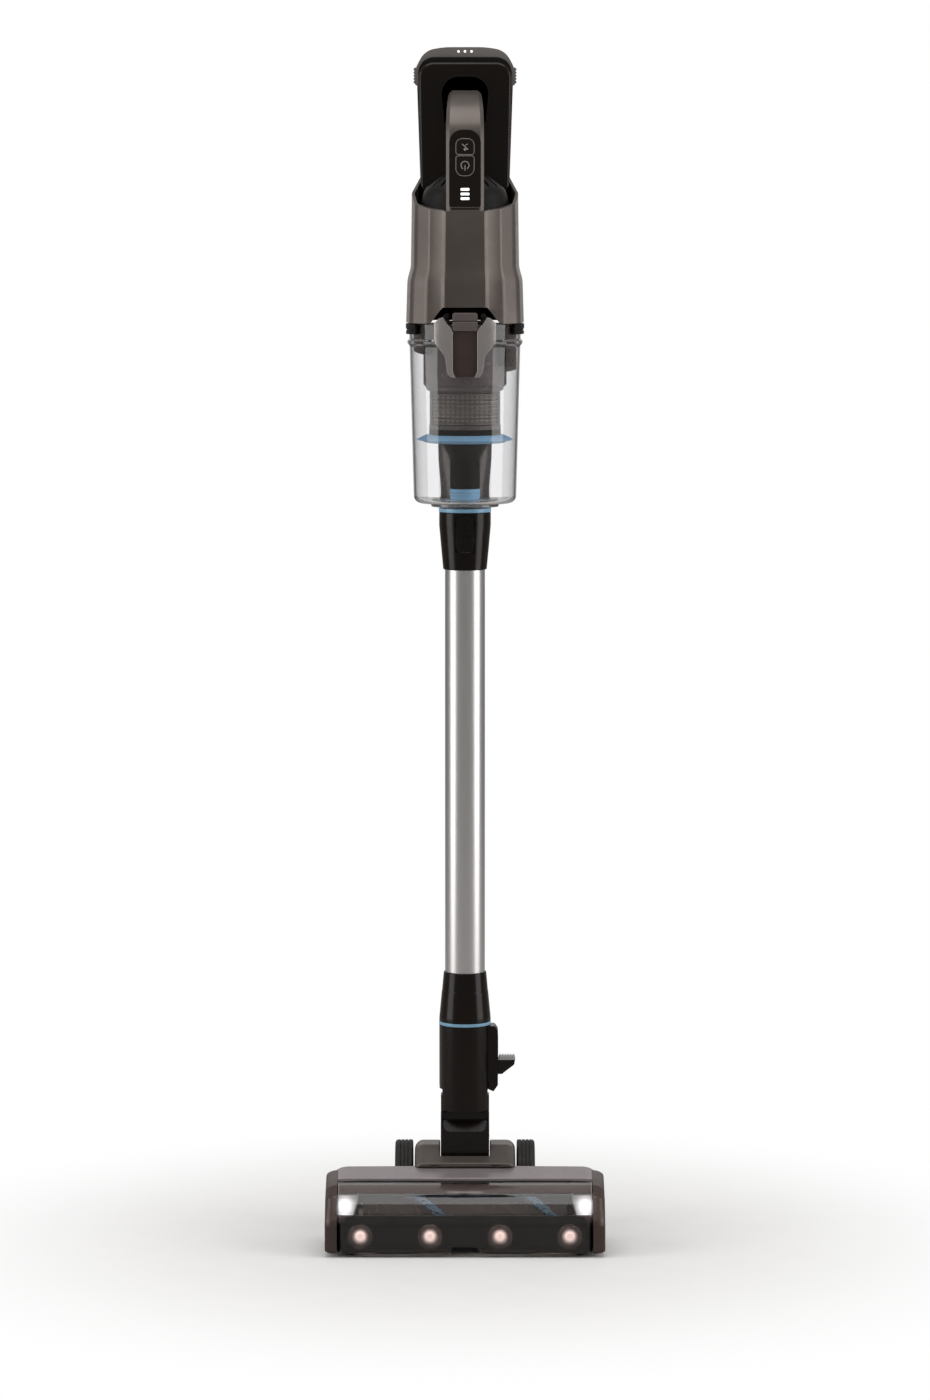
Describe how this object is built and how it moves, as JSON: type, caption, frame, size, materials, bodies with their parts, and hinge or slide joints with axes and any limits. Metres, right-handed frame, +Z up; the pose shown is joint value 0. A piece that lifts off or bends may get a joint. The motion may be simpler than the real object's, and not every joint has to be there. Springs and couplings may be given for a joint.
{
  "type": "upright vacuum cleaner",
  "caption": "Cordless stick vacuum cleaner: brush head on wheels, tilting and swivelling neck, lift-off wand, clear cyclone dust cup and slide-out battery.",
  "frame": {"origin": "on the floor, under the middle of the cleaner's bounding box", "axes": "+Z up along the wand, -Y towards the front of the head, +X to the right of someone facing the front"},
  "size_m": [0.2608, 0.1922, 1.119],
  "materials": {
    "gunmetal": "metallic grey moulded shell",
    "cover_grey": "silver grey moulded cover",
    "latch_grey": "gloss silver grey",
    "soft_black": "black moulded plastic",
    "gloss_black": "gloss black",
    "battery_grey": "grey moulded plastic",
    "key_grey": "grey moulded plastic",
    "dark_caps": "dark brown grey plastic",
    "duct_grey": "warm grey moulded plastic",
    "tube": "light anodised aluminium",
    "blue_accent": "light blue plastic",
    "blue_rubber": "light blue soft seal",
    "clear": "clear polycarbonate",
    "smoked": "smoked polycarbonate",
    "cyclone_grey": "grey moulded plastic",
    "dark_plastic": "near black plastic",
    "steel": "steel",
    "mesh": "pleated steel mesh",
    "bristle": "light blue nylon bristle strip",
    "foam": "filter foam",
    "motor_metal": "motor can",
    "tyre": "black rubber tread",
    "wheel": "black plastic hub",
    "led": "white lamp"
  },
  "bodies": {
    "head": {"head_base": "soft_black", "head_cover": "cover_grey", "brush_window": "smoked", "front_bumper": "smoked", "side_cap_left": "dark_caps", "side_cap_right": "dark_caps", "case_screws": "steel", "head_leds": "led", "light_pods": "soft_black", "pivot_yoke": "gunmetal", "axle_pins": "steel", "brush_motor": "motor_metal", "brush_end_cap": "dark_caps"},
    "brush_roll": {"brush_core": "cyclone_grey", "brush_bristles": "bristle"},
    "left_wheel": {"tyre_left": "tyre", "wheel_left": "wheel"},
    "right_wheel": {"tyre_right": "tyre", "wheel_right": "wheel"},
    "left_roller": {"front_roller_left": "tyre"},
    "right_roller": {"front_roller_right": "tyre"},
    "neck": {"tilt_knuckle": "soft_black", "swivel_pins": "steel"},
    "upper_neck": {"swivel_body": "soft_black", "swivel_ring": "blue_accent"},
    "pedal": {"release_pedal": "soft_black", "pedal_grip": "key_grey"},
    "catch": {"wand_catch": "dark_caps"},
    "wand": {"wand_lower_collar": "soft_black", "wand_tube": "tube", "wand_upper_collar": "soft_black"},
    "wand_key": {"wand_button": "soft_black"},
    "hand_unit": {"intake_duct": "duct_grey", "wand_ring": "blue_accent", "motor_housing": "gunmetal", "motor_cap": "soft_black", "handle_grip": "soft_black", "control_panel": "gloss_black", "charge_bars": "led", "battery_dock": "soft_black", "suction_motor": "motor_metal", "exhaust_filter": "foam"},
    "cup": {"dust_cup": "clear", "cup_grips": "soft_black", "cyclone_body": "cyclone_grey", "cyclone_ramp": "cyclone_grey", "mesh_filter": "mesh", "wiper_skirt": "blue_rubber", "fine_dust_tube": "dark_plastic", "pre_motor_filter": "foam", "cup_latch_frame": "latch_grey", "tube_seal": "blue_rubber"},
    "door": {"cup_door": "clear"},
    "cup_key": {"cup_latch_button": "latch_grey"},
    "fan": {"impeller": "dark_plastic"},
    "power_key": {"power_button": "key_grey"},
    "mode_key": {"mode_button": "key_grey"},
    "battery": {"battery_pack": "battery_grey"},
    "pack_key_left": {"pack_button_left": "key_grey"},
    "pack_key_right": {"pack_button_right": "key_grey"}
  },
  "joints": [
    {"name": "brush_spin", "type": "hinge", "parent": "head", "child": "brush_roll", "pos_m": [0, -0.0352, 0.0296], "axis": [1, 0, 0], "continuous": true},
    {"name": "left_wheel_spin", "type": "hinge", "parent": "head", "child": "left_wheel", "pos_m": [0, 0.0568, 0.043], "axis": [1, 0, 0], "continuous": true},
    {"name": "right_wheel_spin", "type": "hinge", "parent": "head", "child": "right_wheel", "pos_m": [0, 0.0568, 0.043], "axis": [1, 0, 0], "continuous": true},
    {"name": "left_roller_spin", "type": "hinge", "parent": "head", "child": "left_roller", "pos_m": [-0.107, -0.0622, 0.005], "axis": [1, 0, 0], "continuous": true},
    {"name": "right_roller_spin", "type": "hinge", "parent": "head", "child": "right_roller", "pos_m": [0.107, -0.0622, 0.005], "axis": [1, 0, 0], "continuous": true},
    {"name": "neck_tilt", "type": "hinge", "parent": "head", "child": "neck", "pos_m": [0, 0.0568, 0.043], "axis": [-1, 0, 0], "range_deg": [0, 80]},
    {"name": "neck_swivel", "type": "hinge", "parent": "neck", "child": "upper_neck", "pos_m": [0, 0.0388, 0.144], "axis": [0, 1, 0], "range_deg": [-40, 40]},
    {"name": "pedal_press", "type": "slide", "parent": "upper_neck", "child": "pedal", "axis": [0, 0, -1], "range_m": [0, 0.008], "stiffness_N_per_m": 600, "springref_m": -0.004},
    {"name": "catch_draw", "type": "slide", "parent": "upper_neck", "child": "catch", "axis": [1, 0, 0], "range_m": [0, 0.0026]},
    {"name": "wand_lift", "type": "slide", "parent": "upper_neck", "child": "wand", "axis": [0, 0, 1], "range_m": [0, 0.05]},
    {"name": "wand_key_press", "type": "slide", "parent": "wand", "child": "wand_key", "axis": [0, 1, 0], "range_m": [0, 0.0015], "stiffness_N_per_m": 900, "springref_m": -0.001},
    {"name": "hand_unit_lift", "type": "slide", "parent": "wand", "child": "hand_unit", "axis": [0, 0, 1], "range_m": [0, 0.04]},
    {"name": "cup_release", "type": "slide", "parent": "hand_unit", "child": "cup", "axis": [0, -1, 0], "range_m": [0, 0.12]},
    {"name": "cup_door_swing", "type": "hinge", "parent": "cup", "child": "door", "pos_m": [0, -0.0004, 0.6974], "axis": [1, 0, 0], "range_deg": [0, 90]},
    {"name": "cup_key_press", "type": "slide", "parent": "cup", "child": "cup_key", "axis": [0, 1, 0], "range_m": [0, 0.0015], "stiffness_N_per_m": 900, "springref_m": -0.001},
    {"name": "fan_spin", "type": "hinge", "parent": "hand_unit", "child": "fan", "pos_m": [0, -0.0342, 0.89], "axis": [0, 0, 1], "continuous": true},
    {"name": "power_key_press", "type": "slide", "parent": "hand_unit", "child": "power_key", "axis": [0, 0.9945, -0.1045], "range_m": [0, 0.001], "stiffness_N_per_m": 700, "springref_m": -0.0005},
    {"name": "mode_key_press", "type": "slide", "parent": "hand_unit", "child": "mode_key", "axis": [0, 0.9945, -0.1045], "range_m": [0, 0.001], "stiffness_N_per_m": 700, "springref_m": -0.0005},
    {"name": "battery_slide", "type": "slide", "parent": "hand_unit", "child": "battery", "axis": [0, 0, 1], "range_m": [0, 0.085]},
    {"name": "pack_key_left_squeeze", "type": "slide", "parent": "battery", "child": "pack_key_left", "axis": [1, 0, 0], "range_m": [0, 0.0018], "stiffness_N_per_m": 900, "springref_m": -0.001},
    {"name": "pack_key_right_squeeze", "type": "slide", "parent": "battery", "child": "pack_key_right", "axis": [-1, 0, 0], "range_m": [0, 0.0018], "stiffness_N_per_m": 900, "springref_m": -0.001}
  ],
  "couplings": [
    {"joint": "catch_draw", "follows": "pedal_press", "ratio": 0.325}
  ]
}
